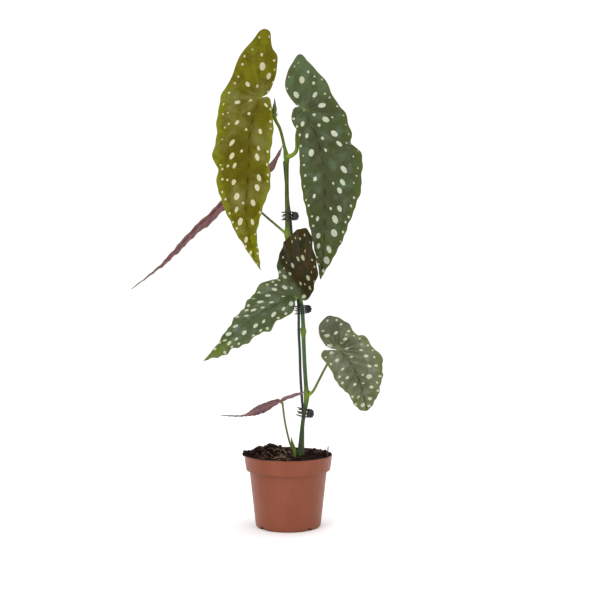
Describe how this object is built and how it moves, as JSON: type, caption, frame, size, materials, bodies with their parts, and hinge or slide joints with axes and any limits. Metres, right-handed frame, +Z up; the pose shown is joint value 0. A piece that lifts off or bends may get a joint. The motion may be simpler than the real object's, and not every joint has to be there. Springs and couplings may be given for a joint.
{
  "type": "potted polka dot begonia",
  "caption": "Tall spotted begonia with wing-shaped leaves on a cane tied to a stick by claw clips, standing in a tapered plastic nursery pot of potting mix.",
  "frame": {"origin": "middle of the pot's underside, on the surface it stands on", "axes": "+Z up the pot's axis; -Y is the side the upper leaves face; +X to the right of someone who faces them"},
  "size_m": [0.3413, 0.1774, 0.6773],
  "materials": {
    "pot_plastic": "satin",
    "potting_mix": "matte",
    "cane_skin": "satin",
    "petiole_skin": "satin",
    "leaf_skin": "satin",
    "stick_plastic": "satin",
    "clip_plastic": "gloss",
    "spring_steel": "satin"
  },
  "bodies": {
    "pot_and_plant": {"pot": "pot_plastic", "soil": "potting_mix", "cane": "cane_skin", "terminal_bud": "petiole_skin", "basal_shoot": "petiole_skin", "support_stick": "stick_plastic", "leaf_a": "leaf_skin", "leaf_b": "leaf_skin", "leaf_c": "leaf_skin", "leaf_d": "leaf_skin", "leaf_e": "leaf_skin", "leaf_f": "leaf_skin", "petiole_a": "petiole_skin", "petiole_b": "petiole_skin", "petiole_c": "petiole_skin", "petiole_d": "petiole_skin", "petiole_e": "petiole_skin", "petiole_f": "petiole_skin", "upper_clip_back_jaw": "clip_plastic", "upper_clip_spring": "spring_steel", "upper_clip_pin": "spring_steel", "middle_clip_back_jaw": "clip_plastic", "middle_clip_spring": "spring_steel", "middle_clip_pin": "spring_steel", "lower_clip_back_jaw": "clip_plastic", "lower_clip_spring": "spring_steel", "lower_clip_pin": "spring_steel"},
    "upper_front_jaw": {"upper_clip_front_jaw": "clip_plastic"},
    "middle_front_jaw": {"middle_clip_front_jaw": "clip_plastic"},
    "lower_front_jaw": {"lower_clip_front_jaw": "clip_plastic"}
  },
  "joints": [
    {"name": "upper_clip_hinge", "type": "hinge", "parent": "pot_and_plant", "child": "upper_front_jaw", "pos_m": [0.0076, 0.0001, 0.4215], "axis": [0, 0, 1], "range_deg": [0, 35], "stiffness_Nm_per_rad": 0.01, "springref_deg": -28.65},
    {"name": "middle_clip_hinge", "type": "hinge", "parent": "pot_and_plant", "child": "middle_front_jaw", "pos_m": [0.025, -0.003, 0.2946], "axis": [-0.1045, 0, 0.9945], "range_deg": [0, 35], "stiffness_Nm_per_rad": 0.01, "springref_deg": -28.65},
    {"name": "lower_clip_hinge", "type": "hinge", "parent": "pot_and_plant", "child": "lower_front_jaw", "pos_m": [0.0282, -0.0018, 0.1528], "axis": [0.1736, 0, 0.9848], "range_deg": [0, 35], "stiffness_Nm_per_rad": 0.01, "springref_deg": -28.65}
  ]
}
